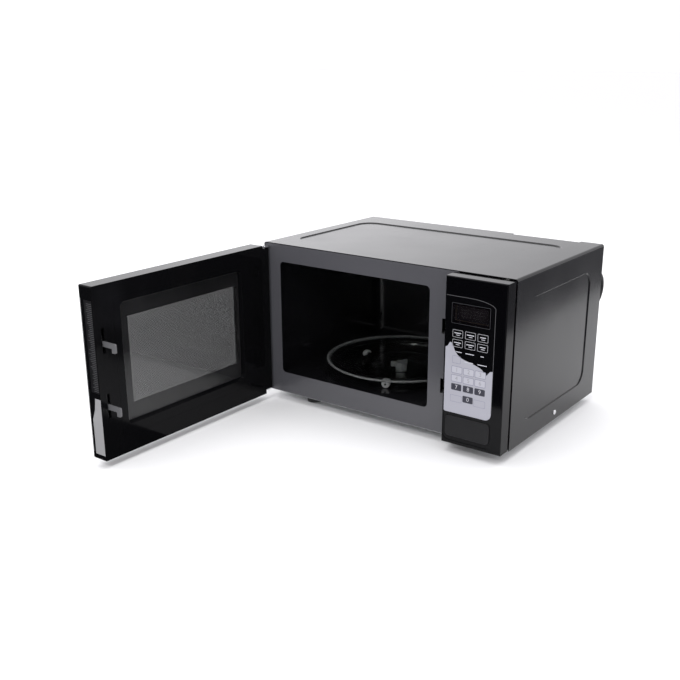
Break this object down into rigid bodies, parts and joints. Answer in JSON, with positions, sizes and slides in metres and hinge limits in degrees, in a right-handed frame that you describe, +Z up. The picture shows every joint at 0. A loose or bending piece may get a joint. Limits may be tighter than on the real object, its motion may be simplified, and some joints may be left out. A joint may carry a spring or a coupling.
{
  "type": "microwave oven",
  "caption": "Countertop microwave oven: steel case, side-hinged door with screened window, glass turntable, keypad fascia and push-button door release.",
  "frame": {"origin": "on the worktop, under the middle of the oven's body (feet stand at z = 0)", "axes": "+X to the right seen from the front, -Y towards the front, +Z up; the door stands open at 90 degrees at rest"},
  "size_m": [0.4561, 0.7571, 0.258],
  "materials": {
    "black_gloss_steel": "glossy black painted steel sheet",
    "grey_satin_steel": "satin dark grey enamel on steel",
    "cavity_enamel": "gloss black enamel",
    "black_gloss_plastic": "gloss black plastic",
    "black_matte_plastic": "fine textured black plastic",
    "grey_plastic": "light grey plastic",
    "white_plastic": "white plastic",
    "membrane": "printed film, black above and silver grey below",
    "display_lens": "smoky lens",
    "door_glass": "dark tinted glass with a black border",
    "screen_steel": "black enamel on perforated steel",
    "clear_film": "clear film",
    "clear_glass": "clear pressed glass",
    "bright_steel": "bright zinc-plated steel",
    "galvanised": "galvanised steel sheet",
    "spring_steel": "spring steel",
    "aluminium": "bare aluminium",
    "iron_core": "varnished laminations",
    "copper": "enamelled copper wire",
    "board": "bare circuit board",
    "mica": "mica sheet",
    "rubber": "black rubber",
    "cord_jacket": "black vinyl jacket"
  },
  "bodies": {
    "cabinet": {"outer_cover": "black_gloss_steel", "case_screws": "bright_steel", "base_plate": "galvanised", "feet": "rubber", "front_frame": "grey_satin_steel", "oven_cavity": "cavity_enamel", "rear_panel": "galvanised", "turntable_motor": "galvanised", "upper_hinge_bracket": "bright_steel", "lower_hinge_bracket": "bright_steel", "hinge_pins": "bright_steel", "latch_holder": "black_matte_plastic", "interlock_switches": "black_matte_plastic", "control_fascia": "black_gloss_plastic", "keypad_membrane": "membrane", "display_window": "display_lens", "display_module": "black_matte_plastic", "control_board": "board", "release_button_spring": "spring_steel", "waveguide": "galvanised", "waveguide_cover": "mica", "magnetron": "aluminium", "transformer_core": "iron_core", "transformer_winding": "copper", "hv_capacitor": "aluminium", "hv_diode": "black_matte_plastic", "fan_shroud": "galvanised", "fan_motor": "iron_core", "noise_filter_board": "board", "thermal_cutout": "aluminium", "lamp_socket": "white_plastic", "cavity_lamp": "clear_glass", "wire_harness": "cord_jacket", "cord_strain_relief": "rubber", "power_cord": "cord_jacket", "cord_coil": "cord_jacket", "cord_tail": "cord_jacket", "power_plug": "rubber", "cord_tie": "white_plastic"},
    "door": {"door_frame": "black_gloss_plastic", "door_bezel": "black_gloss_plastic", "door_glass": "door_glass", "door_screen": "screen_steel", "choke_cover": "black_gloss_plastic", "door_film": "clear_film", "latch_spring": "spring_steel"},
    "latch": {"door_latch": "grey_plastic"},
    "button": {"release_button": "black_matte_plastic"},
    "lever": {"release_lever": "black_matte_plastic"},
    "upper_plunger": {"upper_switch_plunger": "white_plastic"},
    "lower_plunger": {"lower_switch_plunger": "white_plastic"},
    "turntable": {"glass_turntable": "clear_glass", "turntable_coupler": "grey_plastic"},
    "ring": {"roller_ring": "grey_plastic"},
    "wheel_1": {"roller_wheel_1": "white_plastic"},
    "wheel_2": {"roller_wheel_2": "white_plastic"},
    "wheel_3": {"roller_wheel_3": "white_plastic"},
    "fan": {"fan_blade": "grey_plastic"}
  },
  "joints": [
    {"name": "door_hinge", "type": "hinge", "parent": "cabinet", "child": "door", "pos_m": [-0.21535, -0.15305, 0.135], "axis": [0, 0, 1], "range_deg": [-15, 90]},
    {"name": "latch_lift", "type": "slide", "parent": "door", "child": "latch", "axis": [0, 0, 1], "range_m": [0, 0.006], "stiffness_N_per_m": 150, "springref_m": -0.01, "deforming": ["latch_spring"]},
    {"name": "button_press", "type": "slide", "parent": "cabinet", "child": "button", "axis": [0, 1, 0], "range_m": [0, 0.004], "stiffness_N_per_m": 250, "springref_m": -0.006, "deforming": ["release_button_spring"]},
    {"name": "lever_turn", "type": "hinge", "parent": "cabinet", "child": "lever", "pos_m": [0.122, -0.133, 0.056], "axis": [1, 0, 0], "range_deg": [0, 15]},
    {"name": "upper_plunger_press", "type": "slide", "parent": "cabinet", "child": "upper_plunger", "axis": [0, 1, 0], "range_m": [0, 0.0015], "stiffness_N_per_m": 400, "springref_m": -0.001},
    {"name": "lower_plunger_press", "type": "slide", "parent": "cabinet", "child": "lower_plunger", "axis": [0, 1, 0], "range_m": [0, 0.0015], "stiffness_N_per_m": 400, "springref_m": -0.001},
    {"name": "turntable_spin", "type": "hinge", "parent": "cabinet", "child": "turntable", "pos_m": [-0.051, -0.003, 0.05], "axis": [0, 0, 1], "continuous": true},
    {"name": "ring_spin", "type": "hinge", "parent": "cabinet", "child": "ring", "pos_m": [-0.051, -0.003, 0.045], "axis": [0, 0, 1], "continuous": true},
    {"name": "wheel_1_spin", "type": "hinge", "parent": "ring", "child": "wheel_1", "pos_m": [0.00629, 0.05843, 0.0449], "axis": [0.682, 0.7314, 0], "continuous": true},
    {"name": "wheel_2_spin", "type": "hinge", "parent": "ring", "child": "wheel_2", "pos_m": [-0.13285, 0.0159, 0.0449], "axis": [-0.9744, 0.225, 0], "continuous": true},
    {"name": "wheel_3_spin", "type": "hinge", "parent": "ring", "child": "wheel_3", "pos_m": [-0.02644, -0.08333, 0.0449], "axis": [0.2924, -0.9563, 0], "continuous": true},
    {"name": "fan_spin", "type": "hinge", "parent": "cabinet", "child": "fan", "pos_m": [0.152, 0.09, 0.15], "axis": [0, 1, 0], "continuous": true}
  ],
  "couplings": [
    {"joint": "lever_turn", "follows": "button_press", "rad_per_m": 62.5},
    {"joint": "ring_spin", "follows": "turntable_spin", "ratio": 0.5},
    {"joint": "wheel_1_spin", "follows": "turntable_spin", "ratio": -6.3636},
    {"joint": "wheel_2_spin", "follows": "turntable_spin", "ratio": -6.3636},
    {"joint": "wheel_3_spin", "follows": "turntable_spin", "ratio": -6.3636}
  ]
}
